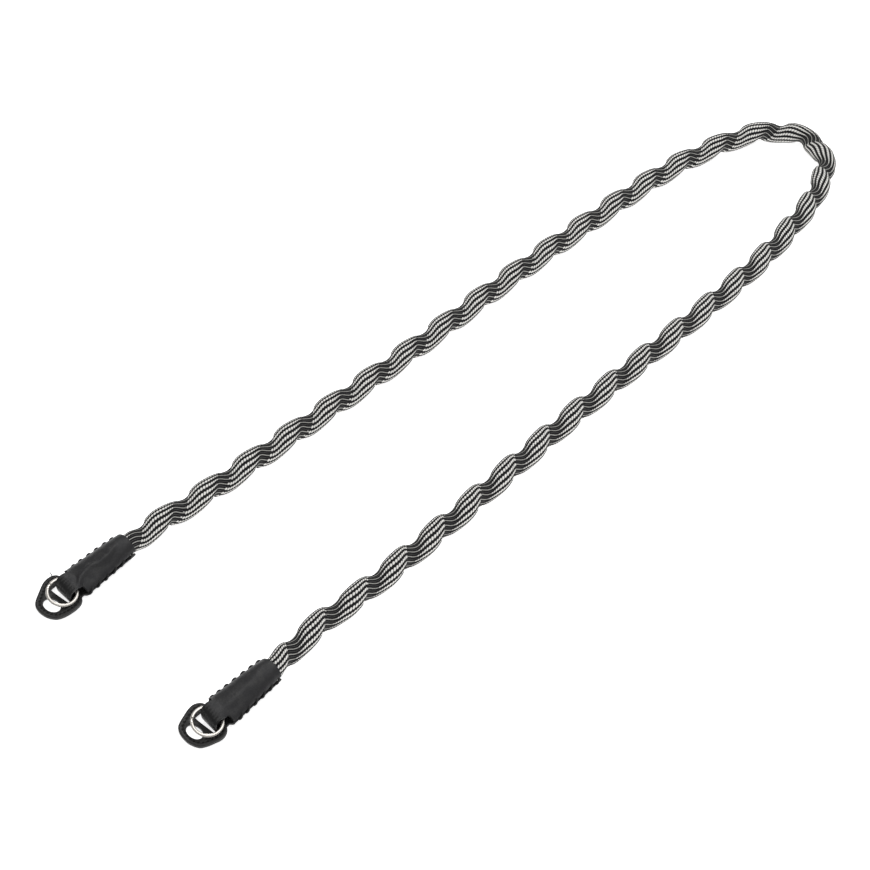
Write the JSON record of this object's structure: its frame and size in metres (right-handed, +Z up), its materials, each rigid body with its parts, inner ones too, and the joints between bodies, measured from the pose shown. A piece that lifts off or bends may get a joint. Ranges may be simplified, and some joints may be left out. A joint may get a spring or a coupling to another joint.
{
  "type": "camera neck strap",
  "caption": "Round woven rope strap laid in a long U, with a folded leather sleeve, a split ring and a flat leather protector at each end.",
  "frame": {"origin": "middle of the strap's bounding box, on the surface that it lies on", "axes": "+X from the two ends towards the rope's bend, +Y from the right end towards the left end, +Z up"},
  "size_m": [0.4976, 0.1147, 0.0113],
  "materials": {
    "woven_rope": "woven",
    "leather": "satin",
    "protector_leather": "matt",
    "ring_metal": "polished nickel"
  },
  "bodies": {
    "root": {"rope": "woven_rope", "sleeve_left": "leather", "sleeve_right": "leather", "ring_left": "ring_metal", "ring_right": "ring_metal", "protector_left": "protector_leather", "protector_right": "protector_leather"}
  },
  "joints": []
}
